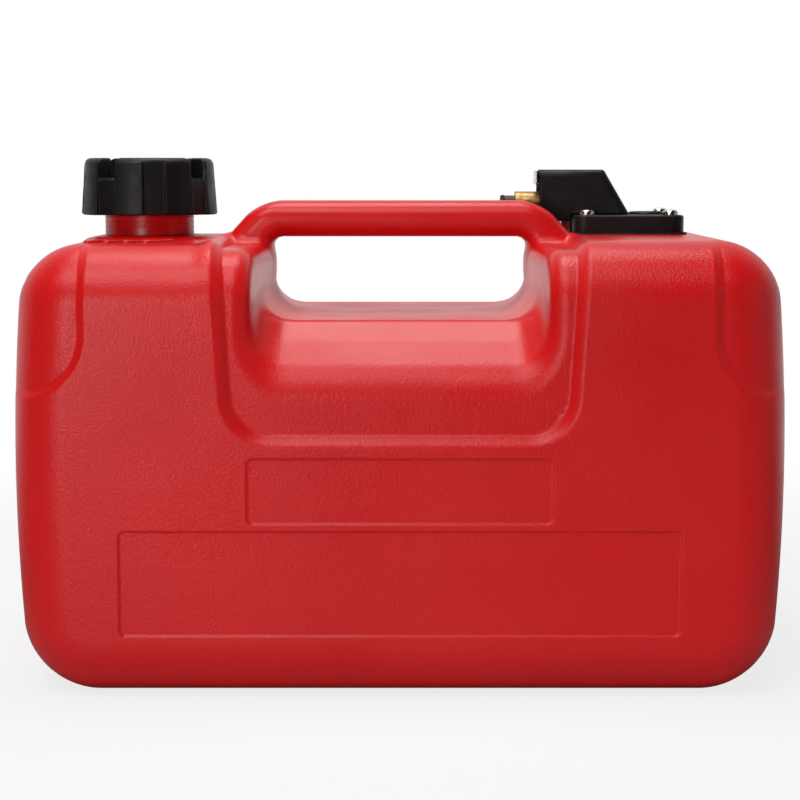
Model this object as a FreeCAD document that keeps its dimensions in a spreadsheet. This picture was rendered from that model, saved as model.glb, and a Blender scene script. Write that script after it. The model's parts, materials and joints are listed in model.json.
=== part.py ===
import FreeCAD, Part
import os
import re

import Sketcher
from FreeCAD import Vector

# A portable fuel tank for a small outboard motor, as an assembly of separate pieces.
# Millimetres, +Z up, +X to the right and +Y to the back of the tank. The origin is the centre of
# the flat bottom. The filler cap stands on the left of the deck, the fuel take-off on the right.

SIZES = [
    # The hollow moulded body.
    ("tank_length", 354),
    ("tank_depth", 200),
    ("deck_height", 208),
    ("side_bulge", 5.6),
    ("corner_radius", 30),
    ("edge_radius", 27),
    ("wall", 3),
    # The hand opening, the scoops in front of it and behind it, and the hollow handle over it.
    ("hand_width", 122),
    ("hand_height", 36.5),
    ("scoop_flare", 7),
    ("scoop_corner", 15),
    ("scoop_roll", 13),
    ("handle_width", 28),
    ("handle_thickness", 17.5),
    ("handle_rise", 17),
    ("handle_top_length", 128),
    ("handle_slope", 20),
    ("handle_round", 8),
    ("duct_length", 9),
    # The U-shaped recess on both faces and the two flat panels under it.
    ("recess_width", 166),
    ("recess_height", 89),
    ("recess_depth", 4),
    ("recess_corner", 19),
    ("text_panel_length", 138),
    ("text_panel_gap", 8),
    ("text_panel_height", 29.5),
    ("label_panel_length", 254),
    ("label_panel_gap", 3.5),
    ("label_panel_height", 48),
    ("panel_depth", 1),
    # The filler neck and its thread.
    ("filler_inset", 54),
    ("neck_bore", 35),
    ("neck_outside", 41.2),
    ("neck_height", 22.7),
    ("thread_pitch", 4),
    ("thread_rise", 1.25),
    ("thread_root_width", 2.2),
    ("thread_crest_width", 1),
    ("thread_clearance", 0.4),
    ("neck_thread_start", 4),
    ("neck_thread_turns", 4),
    ("cap_thread_turns", 1.75),
    # The filler cap, with its gasket, vent screw and vent seal.
    ("cap_gap", 9.7),
    ("cap_height", 27.3),
    ("cap_foot_width", 66.4),
    ("cap_top_width", 63.7),
    ("cap_shoulder", 2.5),
    ("cap_skirt", 4.2),
    ("cap_sleeve", 3.4),
    ("cap_roof", 2.9),
    ("crown_height", 9.4),
    ("crown_bore", 44),
    ("grip_groove_depth", 2.2),
    ("grip_groove_radius", 8),
    ("crown_notch_width", 10.5),
    ("gasket_thickness", 2),
    ("vent_bore", 5.2),
    ("vent_clearance", 0.1),
    ("vent_seal_width", 10),
    ("vent_seal_thickness", 1.2),
    ("vent_knob_width", 16),
    ("vent_knob_height", 6.6),
    ("vent_stem_length", 9),
    ("vent_slot_width", 1.6),
    # The take-off's base plate on its gasket, its spigot in the deck's hole, and its screws.
    ("base_gap", 1.9),
    ("base_y", 30),
    ("base_length", 55),
    ("base_depth", 52),
    ("base_height", 8.6),
    ("base_corner", 6.5),
    ("base_edge", 1.2),
    ("base_gasket_thickness", 1),
    ("base_gasket_lip", 1.5),
    ("spigot_width", 42.4),
    ("spigot_length", 8),
    ("spigot_clearance", 0.3),
    ("screw_spacing", 41.5),
    ("screw_width", 4),
    ("screw_clearance", 0.2),
    ("screw_head_width", 7.8),
    ("screw_head_height", 2.7),
    ("screw_grip", 8),
    ("cross_width", 1.1),
    ("cross_length", 4.4),
    ("cross_depth", 1.5),
    ("insert_width", 6),
    ("insert_length", 9),
    ("insert_boss_width", 11),
    # The pickup tube with its strainer and seal.
    ("tube_offset", 13.4),
    ("tube_outside", 7),
    ("tube_bore", 5),
    ("tube_floor_gap", 8),
    ("tube_socket", 13),
    ("tube_seal_width", 11),
    ("tube_seal_thickness", 1.6),
    ("strainer_width", 12),
    ("strainer_wall", 1.2),
    ("strainer_height", 18),
    ("strainer_floor_gap", 1.5),
    ("strainer_slot_width", 2.4),
    ("strainer_slot_height", 8),
    # The gauge: a float on a guide turns a twisted strip, whose stem carries the pointer.
    ("gauge_offset", 11.6),
    ("dial_width", 15.6),
    ("dial_thickness", 0.6),
    ("dial_depth", 5),
    ("lens_width", 17),
    ("lens_thickness", 1.5),
    ("bezel_width", 18.8),
    ("bezel_bore", 14.6),
    ("bezel_height", 1.4),
    ("bush_width", 6),
    ("stem_width", 3),
    ("running_clearance", 0.1),
    ("pointer_length", 6.6),
    ("pointer_width", 1.8),
    ("pointer_hub_width", 4.5),
    ("pointer_thickness", 0.8),
    ("pointer_lift", 0.5),
    ("strip_width", 5),
    ("strip_thickness", 0.8),
    ("strip_pitch", 200),
    ("strip_pin_width", 2),
    ("strip_pin_length", 2.5),
    ("guide_rod_width", 2.4),
    ("guide_rod_spacing", 12),
    ("guide_foot_thickness", 3.5),
    ("guide_floor_gap", 4),
    ("float_width", 18),
    ("float_length", 26),
    ("float_bore", 6.4),
    ("float_web", 1.2),
    ("float_clearance", 0.2),
    ("float_rest_gap", 0.5),
    # The hose connector: cast block, hood, clip, stepped nipple and check valve.
    ("connector_axis_height", 14),
    ("nipple_reach", 62.8),
    ("nipple_tip_length", 7.4),
    ("nipple_tip_width", 8),
    ("nipple_length", 14),
    ("nipple_width", 12),
    ("tip_socket", 7),
    ("shank_width", 8),
    ("shank_length", 8),
    ("block_length", 22.5),
    ("block_width", 16),
    ("block_height", 14.4),
    ("block_foot_length", 4.5),
    ("block_foot_gap", 0.3),
    ("collar_width", 13),
    ("clip_thickness", 1.2),
    ("clip_width", 18),
    ("clip_height", 7.6),
    ("clip_gap", 0.5),
    ("clip_leg", 22),
    ("hood_reach", 43.7),
    ("hood_top_length", 32.1),
    ("hood_slope", 13.2),
    ("hood_height", 22.4),
    ("hood_overhang_drop", 3.2),
    ("hood_width", 28),
    ("hood_wall", 2),
    ("hood_round", 3.5),
    ("valve_chamber", 5),
    ("valve_mouth", 3.6),
    ("valve_mouth_length", 2.4),
    ("ball_width", 4.8),
    ("ball_seat_gap", 0.1),
    ("spring_wire", 0.7),
    ("spring_width", 4.4),
    ("spring_turns", 5),
    ("ring_section", 1.6),
    ("ring_offset", 0.5),
    ("ring_stand", 0.3),
]

# Heights and places that follow from the sizes. The faces are laid out downwards from the deck.
# The filler is placed from the tank's left end, and the take-off stands clear of the handle's foot.
DERIVED = {
    "hand_floor": "(deck_height + handle_rise - handle_thickness - hand_height)",
    "recess_bottom": "(deck_height - recess_height)",
    "text_panel_bottom": "(recess_bottom - text_panel_gap - text_panel_height)",
    "label_panel_bottom": "(text_panel_bottom - label_panel_gap - label_panel_height)",
    "filler_x": "(filler_inset - tank_length / 2)",
    "base_x": "(handle_top_length / 2 + handle_slope + base_gap + base_length / 2)",
    "nipple_tip_x": "(base_x - nipple_reach)",
    "hood_mouth_x": "(base_x - hood_reach)",
}

doc = FreeCAD.newDocument("fuel_tank")
sheet = doc.addObject("Spreadsheet::Sheet", "Sizes")
for row, (alias, number) in enumerate(SIZES, start=1):
    sheet.set(f"A{row}", alias)
    sheet.set(f"B{row}", str(number))
    sheet.setAlias(f"B{row}", alias)
doc.recompute()
ALIASES = {alias for alias, number in SIZES}
NODES = []
reader = doc.addObject("App::FeaturePython", "Reader")


def tied(text):
    """The expression text, with each size name written as a reference to the sheet."""

    def written(match):
        word = match.group()
        if word in DERIVED:
            return tied(DERIVED[word])
        return f"Sizes.{word}" if word in ALIASES else word

    return re.sub("[a-z_]+", written, text)


def bind(thing, **ties):
    """Ties each named property of thing to an expression of sizes."""
    for name, text in ties.items():
        thing.setExpression(name, tied(text))


def value(text):
    """The number that an expression of sizes gives now."""
    return float(reader.evalExpression(tied(text)))


def new_body(label, is_node=True):
    """A PartDesign body, counted among the exported pieces unless it only helps to make one."""
    body = doc.addObject("PartDesign::Body", label)
    body.Label = label
    if is_node:
        NODES.append(body)
    return body


def part(kind, label, is_node=True, **ties):
    """A Part object such as Part::Box, with its sizes tied."""
    thing = doc.addObject(kind, label)
    thing.Label = label
    bind(thing, **ties)
    if is_node:
        NODES.append(thing)
    return thing


def put(thing, x="0", y="0", z="0"):
    """Places thing's own origin at expressions of sizes."""
    thing.setExpression("Placement.Base.x", tied(x))
    thing.setExpression("Placement.Base.y", tied(y))
    thing.setExpression("Placement.Base.z", tied(z))
    return thing


def sketch_on(body, role, offset="0"):
    """A sketch on one of the body's origin planes, moved along the plane's normal."""
    sketch = body.newObject("Sketcher::SketchObject", "Sketch")
    plane = next(f for f in body.Origin.OriginFeatures if f.Role == role)
    sketch.AttachmentSupport = [(plane, "")]
    sketch.MapMode = "FlatFace"
    sketch.setExpression("AttachmentOffset.Base.z", tied(offset))
    return sketch


def lock(sketch, geometry, point, x, y):
    """Ties one point of a sketch to two expressions."""
    for kind, text in (("DistanceX", x), ("DistanceY", y)):
        index = sketch.addConstraint(Sketcher.Constraint(kind, geometry, point, value(text)))
        sketch.setExpression(f"Constraints[{index}]", tied(text))


def polygon(sketch, corners):
    """A closed outline of straight lines, each corner tied to a pair of expressions."""
    spots = [Vector(value(x), value(y), 0) for x, y in corners]
    first = sketch.GeometryCount
    count = len(spots)
    for i in range(count):
        sketch.addGeometry(Part.LineSegment(spots[i], spots[(i + 1) % count]), False)
    for i in range(count):
        after = first + (i + 1) % count
        sketch.addConstraint(Sketcher.Constraint("Coincident", first + i, 2, after, 1))
    for i, (x, y) in enumerate(corners):
        lock(sketch, first + i, 1, x, y)
    return sketch


def box_outline(sketch, x_low, x_high, y_low, y_high):
    """A rectangle between four expressions."""
    return polygon(sketch, [(x_low, y_low), (x_high, y_low), (x_high, y_high), (x_low, y_high)])


def circle(sketch, width, x="0", y="0"):
    """A circle of a given width, its centre tied to two expressions."""
    centre = Vector(value(x), value(y), 0)
    index = sketch.addGeometry(Part.Circle(centre, Vector(0, 0, 1), value(width) / 2), False)
    diameter = sketch.addConstraint(Sketcher.Constraint("Diameter", index, value(width)))
    sketch.setExpression(f"Constraints[{diameter}]", tied(width))
    lock(sketch, index, 3, x, y)
    return sketch


def settle(feature):
    """Recomputes the document and stops if the new feature has failed."""
    doc.recompute()
    if "Invalid" in feature.State or "Error" in feature.State:
        raise RuntimeError(f"{feature.Label} has failed")
    return feature


def pad(body, sketch, length, both_ways=False, down=False):
    """Raises a sketch, along its normal unless both_ways or down says otherwise."""
    feature = body.newObject("PartDesign::Pad", "Pad")
    feature.Profile = sketch
    feature.Midplane = both_ways
    feature.Reversed = down
    bind(feature, Length=length)
    return settle(feature)


def pocket(body, sketch, length=None, both_ways=False, up=False):
    """Cuts a sketch against its normal, or along it where up says so; through all without a length."""
    before = body.Shape.Volume
    feature = body.newObject("PartDesign::Pocket", "Pocket")
    feature.Profile = sketch
    feature.Midplane = both_ways
    feature.Reversed = up
    if length is None:
        feature.Type = "ThroughAll"
    else:
        bind(feature, Length=length)
    settle(feature)
    if not body.Shape.Volume < before:
        raise RuntimeError(f"a pocket of {body.Label} cuts nothing")
    return feature


def revolve(body, sketch, axis="V_Axis"):
    """Turns a sketch once round its own vertical or horizontal axis."""
    feature = body.newObject("PartDesign::Revolution", "Revolution")
    feature.Profile = sketch
    feature.ReferenceAxis = (sketch, [axis])
    feature.Angle = 360
    return settle(feature)


def turned(label, profile, is_node=True, lying=False):
    """A body turned from a profile of (radius, height) pairs; lying turns it round the X axis."""
    body = new_body(label, is_node)
    if lying:
        profile = [(along, radius) for radius, along in profile]
    sketch = polygon(sketch_on(body, "XZ_Plane"), profile)
    revolve(body, sketch, "H_Axis" if lying else "V_Axis")
    return body


def soften(body, radius, wanted):
    """Fillets the edges of the body so far whose box the test accepts."""
    base = body.Tip
    names = [f"Edge{i}" for i, edge in enumerate(base.Shape.Edges, start=1) if wanted(edge.BoundBox)]
    if not names:
        raise RuntimeError(f"no edge of {body.Label} is to be rounded")
    feature = body.newObject("PartDesign::Fillet", "Fillet")
    feature.Base = (base, names)
    bind(feature, Radius=radius)
    return settle(feature)


def near(a, b):
    return abs(a - b) < 0.01


def upright(box):
    """An edge that runs along Z only."""
    return near(box.XLength, 0) and near(box.YLength, 0)


def along_y(box):
    """An edge that runs along Y only."""
    return near(box.XLength, 0) and near(box.ZLength, 0)


def level(box, height):
    """An edge that lies flat at a height."""
    return near(box.ZMin, height) and near(box.ZLength, 0)


def ring_pattern(body, feature, count):
    """Repeats a feature of the body evenly round Z."""
    pattern = body.newObject("PartDesign::PolarPattern", "Pattern")
    pattern.Originals = [feature]
    pattern.Axis = (next(f for f in body.Origin.OriginFeatures if f.Role == "Z_Axis"), [""])
    pattern.Angle = 360
    pattern.Occurrences = count
    body.Tip = pattern
    return settle(pattern)


def four_corners(dx, dy):
    """The signed expressions of a rectangle's four corners."""
    return [(f"{sx} * ({dx})", f"{sy} * ({dy})") for sx in (-1, 1) for sy in (-1, 1)]


# ---------------------------------------------------------------------------------- tank body
# The outside and the cavity are the same form. The cavity's is drawn in by the wall.


def tank_form(label, inset):
    """The rounded block with its recesses, panels and hand opening, drawn in by inset."""
    body = new_body(label, is_node=False)
    side = f"(tank_length / 2 - side_bulge - {inset})"
    low, high = f"({inset})", f"(deck_height - {inset})"
    face = f"(tank_depth / 2 - {inset})"

    # Front outline: flat top and bottom, and sides that bulge by side_bulge.
    sketch = sketch_on(body, "XZ_Plane")
    left, right, bottom, top = -value(side), value(side), value(low), value(high)
    middle = (bottom + top) / 2
    bulge = value("side_bulge")
    foot_left, foot_right = Vector(left, bottom, 0), Vector(right, bottom, 0)
    top_left, top_right = Vector(left, top, 0), Vector(right, top, 0)
    sketch.addGeometry(Part.LineSegment(foot_left, foot_right), False)
    sketch.addGeometry(Part.Arc(foot_right, Vector(right + bulge, middle, 0), top_right), False)
    sketch.addGeometry(Part.LineSegment(top_right, top_left), False)
    sketch.addGeometry(Part.Arc(top_left, Vector(left - bulge, middle, 0), foot_left), False)
    for line, x, y in ((0, f"-{side}", low), (2, side, high)):
        lock(sketch, line, 1, x, y)
    lock(sketch, 0, 2, side, low)
    lock(sketch, 2, 2, f"-{side}", high)
    for first, end, second, start in ((0, 2, 1, 1), (1, 2, 2, 1), (2, 2, 3, 1), (3, 2, 0, 1)):
        sketch.addConstraint(Sketcher.Constraint("Coincident", first, end, second, start))
    arc_radius = f"(({high} - {low})^2 / 4 + side_bulge^2) / (2 * side_bulge)"
    for arc in (1, 3):
        index = sketch.addConstraint(Sketcher.Constraint("Radius", arc, value(arc_radius)))
        sketch.setExpression(f"Constraints[{index}]", tied(arc_radius))
    pad(body, sketch, f"2 * {face}", both_ways=True)
    soften(body, f"corner_radius - {inset}", along_y)
    reach = value(face)
    soften(body, f"edge_radius - {inset}", lambda b: near(b.YLength, 0) and near(abs(b.YMin), reach))

    # U-shaped recess in each face, open to the top.
    half = f"(recess_width / 2 + {inset})"
    foot = f"(recess_bottom - {inset})"
    for front in (True, False):
        sign = "" if front else "-"
        sketch = sketch_on(body, "XZ_Plane", f"{sign}{face}")
        box_outline(sketch, f"-{half}", half, foot, "deck_height + wall")
        pocket(body, sketch, "recess_depth", up=not front)
    floor_z = value(foot)
    step = value("recess_depth")
    soften(body, "recess_corner", lambda b: along_y(b) and near(b.YLength, step) and near(b.ZMin, floor_z))

    # Hand opening and scoops: one cut, narrowest under the handle, wider towards both faces.
    grip = f"(hand_width / 2 + {inset})"
    flared = f"(hand_width / 2 + scoop_flare + {inset})"
    end = "(tank_depth / 2 + wall)"
    sketch = sketch_on(body, "XY_Plane", f"hand_floor - {inset}")
    polygon(
        sketch,
        [
            (f"-{flared}", f"-{end}"),
            (flared, f"-{end}"),
            (grip, "0"),
            (flared, end),
            (f"-{flared}", end),
            (f"-{grip}", "0"),
        ],
    )
    pocket(body, sketch, "deck_height", up=True)
    scoop_z = value(f"hand_floor - {inset}")
    soften(
        body,
        "scoop_corner",
        lambda b: level(b, scoop_z) and b.YLength > reach / 2 and b.XLength < reach / 2,
    )
    # The roll goes on up the edges beside the scoop, so it is held to the pillar's width.
    pillar = "(recess_width - hand_width) / 2 - scoop_flare"
    soften(
        body,
        f"min(scoop_roll, 0.9 * ({pillar}))",
        lambda b: level(b, scoop_z) and near(b.YLength, 0) and b.XLength > reach / 2,
    )
    return body


def handle_bar(label, inset):
    """The bar over the hand opening, rounded along its length and sloped at both ends."""
    body = new_body(label, is_node=False)
    half = f"(handle_width / 2 - {inset})"
    bottom = f"(deck_height + handle_rise - handle_thickness + {inset})"
    top = f"(deck_height + handle_rise - {inset})"
    reach = "(handle_top_length / 2 + handle_slope)"
    sketch = box_outline(sketch_on(body, "YZ_Plane"), f"-{half}", half, bottom, top)
    pad(body, sketch, f"2 * {reach}", both_ways=True)
    soften(body, f"handle_round - {inset}", lambda b: near(b.YLength, 0) and near(b.ZLength, 0))
    lean = f"(handle_slope * {inset} / handle_thickness)"
    upper = f"(handle_top_length / 2 + {lean} - 1.5 * {inset})"
    lower = f"({reach} - {lean} - 1.5 * {inset})"
    for side in ("-1", "1"):
        wedge = [(upper, top), (lower, bottom), (f"({reach} + wall)", bottom), (f"({reach} + wall)", top)]
        sketch = sketch_on(body, "XZ_Plane")
        polygon(sketch, [(f"{side} * {x}", z) for x, z in wedge])
        pocket(body, sketch, "handle_width", both_ways=True)
    return body


def fused(label, shapes, is_node=False, refine=True):
    """The union of several shapes; refine joins faces that lie on one surface."""
    whole = part("Part::MultiFuse", label, is_node)
    whole.Shapes = shapes
    whole.Refine = refine
    return whole


def cut(label, base, tool, is_node=False):
    """One shape less another."""
    rest = part("Part::Cut", label, is_node)
    rest.Base = base
    rest.Tool = tool
    return rest


def rod(label, width, height, x="0", y="0", z="0"):
    """A plain upright cylinder that helps to make a piece."""
    cylinder = part("Part::Cylinder", label, False, Radius=f"({width}) / 2", Height=height)
    return put(cylinder, x, y, z)


def thread(label, root_radius, crest_radius, start, turns):
    """A right-handed thread ridge round Z, its middle starting at the height start."""
    body = new_body(label, is_node=False)
    sketch = sketch_on(body, "XZ_Plane")
    root_half, crest_half = "thread_root_width / 2", "thread_crest_width / 2"
    ridge = [
        (root_radius, f"{start} - {root_half}"),
        (crest_radius, f"{start} - {crest_half}"),
        (crest_radius, f"{start} + {crest_half}"),
        (root_radius, f"{start} + {root_half}"),
    ]
    polygon(sketch, ridge)
    feature = body.newObject("PartDesign::AdditiveHelix", "Helix")
    feature.Profile = sketch
    feature.ReferenceAxis = (sketch, ["V_Axis"])
    feature.Mode = "pitch-turns-angle"
    bind(feature, Pitch="thread_pitch", Turns=turns)
    settle(feature)
    return body


panel_list = [
    ("text_panel_length", "text_panel_bottom", "text_panel_height"),
    ("label_panel_length", "label_panel_bottom", "label_panel_height"),
]
outside = tank_form("tank_outside", "0")
for length, bottom, height in panel_list:
    for front in (True, False):
        face_offset = "tank_depth / 2" if front else "-tank_depth / 2"
        panel = sketch_on(outside, "XZ_Plane", face_offset)
        box_outline(panel, f"-{length} / 2", f"{length} / 2", bottom, f"{bottom} + {height}")
        pocket(outside, panel, "panel_depth", up=not front)
cavity = tank_form("tank_cavity", "wall")

# Ducts join the cavity of the handle to the cavity of the tank at both ends.
ducts = []
for side in ("left", "right"):
    duct = part(
        "Part::Box",
        f"handle_duct_{side}",
        False,
        Length="duct_length",
        Width="handle_width - 2 * handle_round",
        Height="handle_rise - handle_thickness / 2 + wall",
    )
    inner = "(hand_width / 2 + 1.5 * wall)"
    duct_x = inner if side == "right" else f"-{inner} - duct_length"
    ducts.append(put(duct, duct_x, "handle_round - handle_width / 2", "deck_height - 1.5 * wall"))
hollow = fused("hollow_form", [cavity, handle_bar("handle_cavity", "wall"), *ducts])
handle_wall = cut("handle_wall", handle_bar("handle_outside", "0"), hollow)
carry_handle = cut("carry_handle", handle_wall, outside, is_node=True)

neck_foot = "deck_height - wall"
neck_wall = rod("neck_wall", "neck_outside", "neck_height + wall", "filler_x", "0", neck_foot)
neck_thread = thread(
    "neck_thread",
    "(neck_outside / 2 - thread_rise / 4)",
    "(neck_outside / 2 + thread_rise)",
    "neck_thread_start",
    "neck_thread_turns",
)
put(neck_thread, "filler_x", "0", "deck_height")
below_neck = "deck_height - 2 * wall"
neck_hole = rod("neck_hole", "neck_bore", "neck_height + 4 * wall", "filler_x", "0", below_neck)
neck_seat = rod("neck_seat", "neck_outside", "3 * wall", "filler_x", "0", below_neck)
filler_neck = cut("filler_neck", fused("neck_form", [neck_wall, neck_thread]), neck_hole, is_node=True)

screw_x, screw_y = "screw_spacing / 2", "screw_spacing / 2"
deck_hole = rod(
    "deck_hole",
    "spigot_width + 2 * spigot_clearance",
    "3 * wall",
    "base_x",
    "base_y",
    "deck_height - 2 * wall",
)
bosses, insert_holes = [], []
for i, (dx, dy) in enumerate(four_corners(screw_x, screw_y)):
    x, y = f"base_x + {dx}", f"base_y + {dy}"
    low = "deck_height - insert_length"
    bosses.append(rod(f"insert_boss_{i}", "insert_boss_width", "insert_length", x, y, f"{low} - wall / 2"))
    insert_holes.append(rod(f"insert_hole_{i}", "insert_width", "insert_length + wall", x, y, low))
shell = fused("shell_with_bosses", [cut("shell_form", outside, hollow), *bosses])
shell = cut("open_shell", shell, fused("shell_openings", [neck_seat, deck_hole, *insert_holes]))


def shell_piece(label, x_low, x_high, z_low, z_high):
    """The shell between four expressions, as a piece of its own."""
    width, height = f"{x_high} - ({x_low})", f"{z_high} - ({z_low})"
    box = part("Part::Box", f"{label}_box", False, Length=width, Width="tank_depth", Height=height)
    piece = part("Part::Common", label)
    piece.Base = shell
    piece.Tool = put(box, x_low, "-tank_depth / 2", z_low)
    return piece


# The moulding is one piece of plastic. It is handed over in simple parts that meet face to face:
# a tub, the saddle under the hand opening and a shoulder at each side, with the handle and the neck.
seam_z = "(hand_floor - scoop_roll - 3 * wall)"
seam_x = "(hand_width / 2 + scoop_flare + 4 * wall / 3)"
side_x = "(tank_length / 2)"
shell_piece("tank_body", f"-{side_x}", side_x, "0", seam_z)
shell_piece("tank_saddle", f"-{seam_x}", seam_x, seam_z, "deck_height")
shell_piece("tank_left_shoulder", f"-{side_x}", f"-{seam_x}", seam_z, "deck_height")
shell_piece("tank_right_shoulder", seam_x, side_x, seam_z, "deck_height")

# -------------------------------------------------------------------------------- filler cap
# Local height 0 is the cap's foot. The crown stands round a sunk middle, and eight grooves in
# the skirt give grip. Four of them run into notches through the crown.

cap_bore = "(neck_outside / 2 + thread_rise + thread_clearance)"
cap_sleeve_radius = f"({cap_bore} + cap_sleeve)"
cap_skirt_radius = "(cap_foot_width / 2 - cap_skirt)"
cap_floor = "(cap_height - crown_height)"
cap_under = f"({cap_floor} - cap_roof)"
cap_form = turned(
    "cap_form",
    [
        ("vent_bore / 2", cap_under),
        (cap_bore, cap_under),
        (cap_bore, "0"),
        (cap_sleeve_radius, "0"),
        (cap_sleeve_radius, cap_under),
        (cap_skirt_radius, cap_under),
        (cap_skirt_radius, "0"),
        ("cap_foot_width / 2", "0"),
        ("cap_top_width / 2", "cap_height"),
        ("crown_bore / 2", "cap_height"),
        ("crown_bore / 2", cap_floor),
        ("vent_bore / 2", cap_floor),
    ],
    is_node=False,
)
cap_edge = value("cap_top_width")
soften(cap_form, "cap_shoulder", lambda b: near(b.XLength, cap_edge) and near(b.ZMin, value("cap_height")))
groove_x = "cap_foot_width / 2 + grip_groove_radius - grip_groove_depth"
groove_sketch = circle(sketch_on(cap_form, "XY_Plane"), "2 * grip_groove_radius", groove_x)
ring_pattern(cap_form, pocket(cap_form, groove_sketch, up=True), 8)
notch_sketch = sketch_on(cap_form, "XY_Plane", cap_floor)
notch_half = "crown_notch_width / 2"
box_outline(notch_sketch, "crown_bore / 2 - cap_skirt", "cap_foot_width", f"-{notch_half}", notch_half)
ring_pattern(cap_form, pocket(cap_form, notch_sketch, "cap_height", up=True), 4)

cap_form.Placement = FreeCAD.Placement(Vector(0, 0, 0), FreeCAD.Rotation(Vector(0, 0, 1), 45))

# The cap's thread starts half a turn from the neck's, and so lies half a pitch off its ridge.
cap_thread_start = "neck_thread_start + 3 * thread_pitch - cap_gap"
cap_thread = thread(
    "cap_thread",
    f"({cap_bore} + thread_rise / 4)",
    f"({cap_bore} - thread_rise)",
    cap_thread_start,
    "cap_thread_turns",
)
cap_thread.Placement = FreeCAD.Placement(Vector(0, 0, 0), FreeCAD.Rotation(Vector(0, 0, 1), 180))
filler_cap = fused("filler_cap", [cap_form, cap_thread], is_node=True, refine=False)
cap_foot_z = "deck_height + cap_gap"
put(filler_cap, "filler_x", "0", cap_foot_z)

cap_gasket = turned(
    "cap_gasket",
    [
        ("neck_bore / 2", "0"),
        ("neck_outside / 2", "0"),
        ("neck_outside / 2", "gasket_thickness"),
        ("neck_bore / 2", "gasket_thickness"),
    ],
)
put(cap_gasket, "filler_x", "0", f"{cap_foot_z} + {cap_under} - gasket_thickness")

stem_radius = "(vent_bore / 2 - vent_clearance)"
vent_seal = turned(
    "vent_seal",
    [
        (stem_radius, "0"),
        ("vent_seal_width / 2", "0"),
        ("vent_seal_width / 2", "vent_seal_thickness"),
        (stem_radius, "vent_seal_thickness"),
    ],
)
put(vent_seal, "filler_x", "0", f"{cap_foot_z} + {cap_floor}")
vent_screw = turned(
    "vent_screw",
    [
        ("0", "-vent_stem_length"),
        (stem_radius, "-vent_stem_length"),
        (stem_radius, "0"),
        ("vent_knob_width / 2", "0"),
        ("vent_knob_width / 2", "vent_knob_height"),
        ("0", "vent_knob_height"),
    ],
)
knob_top = sketch_on(vent_screw, "XY_Plane", "vent_knob_height")
box_outline(knob_top, "-vent_knob_width", "vent_knob_width", "-vent_slot_width / 2", "vent_slot_width / 2")
pocket(vent_screw, knob_top, "vent_slot_width")
put(vent_screw, "filler_x", "0", f"{cap_foot_z} + {cap_floor} + vent_seal_thickness")

# ------------------------------------------------------------------- base plate of the take-off
# Local height 0 is the plate's underside, which lies on the gasket.

base_z = "(deck_height + base_gasket_thickness)"


def plate(label, lip, thickness, corner):
    """A rectangular plate with round corners, the size of the base plus a lip."""
    body = new_body(label)
    half_x, half_y = f"(base_length / 2 + {lip})", f"(base_depth / 2 + {lip})"
    sketch = box_outline(sketch_on(body, "XY_Plane"), f"-{half_x}", half_x, f"-{half_y}", half_y)
    pad(body, sketch, thickness)
    soften(body, corner, upright)
    return body


def through_holes(body, width, offset):
    """Four holes on the screw pattern, down through the body from a plane above it."""
    sketch = sketch_on(body, "XY_Plane", offset)
    for dx, dy in four_corners(screw_x, screw_y):
        circle(sketch, width, dx, dy)
    pocket(body, sketch)


def sink(body, width, x, offset, depth=None, up=False):
    """One round hole from a level of the body, down unless up says otherwise."""
    pocket(body, circle(sketch_on(body, "XY_Plane", offset), width, x), depth, up=up)


screw_hole = "screw_width + 2 * screw_clearance"
gasket_corner = "base_corner + base_gasket_lip"
base_gasket = plate("base_gasket", "base_gasket_lip", "base_gasket_thickness", gasket_corner)
through_holes(base_gasket, screw_hole, "base_gasket_thickness")
sink(base_gasket, "spigot_width + 2 * spigot_clearance", "0", "base_gasket_thickness")
put(base_gasket, "base_x", "base_y", "deck_height")

gauge_base = plate("gauge_base", "0", "base_height", "base_corner")
base_top = value("base_height")
soften(gauge_base, "base_edge", lambda b: near(b.ZMin, base_top))
pad(gauge_base, circle(sketch_on(gauge_base, "XY_Plane"), "spigot_width"), "spigot_length", down=True)
through_holes(gauge_base, screw_hole, "base_height")
sink(gauge_base, "tube_outside", "-tube_offset", "-spigot_length", "tube_socket", up=True)
sink(gauge_base, "tube_seal_width", "-tube_offset", "-spigot_length", "tube_seal_thickness", up=True)
passage = "base_height + spigot_length - tube_socket"
sink(gauge_base, "tube_bore", "-tube_offset", "base_height", passage)
sink(gauge_base, "lens_width", "gauge_offset", "base_height", "lens_thickness")
sink(gauge_base, "dial_width", "gauge_offset", "base_height", "dial_depth")
sink(gauge_base, "bush_width", "gauge_offset", "base_height")
put(gauge_base, "base_x", "base_y", base_z)


def screw(label):
    """A pan-head screw with a cross recess. Local height 0 is the head's underside."""
    shank = "(base_height + base_gasket_thickness + screw_grip)"
    body = turned(
        label,
        [
            ("0", f"-{shank}"),
            ("screw_width / 2", f"-{shank}"),
            ("screw_width / 2", "0"),
            ("screw_head_width / 2", "0"),
            ("screw_head_width / 2", "screw_head_height"),
            ("0", "screw_head_height"),
        ],
        is_node=False,
    )
    soften(body, "0.7 * screw_head_height", lambda b: near(b.ZMin, value("screw_head_height")))
    for along_x in (True, False):
        recess = sketch_on(body, "XY_Plane", "screw_head_height")
        long, short = "cross_length / 2", "cross_width / 2"
        dx, dy = (long, short) if along_x else (short, long)
        box_outline(recess, f"-{dx}", dx, f"-{dy}", dy)
        pocket(body, recess, "cross_depth")
    return body


def group(label, members):
    """Identical pieces in one node."""
    whole = part("Part::Compound", label)
    whole.Links = members
    return whole


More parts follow.
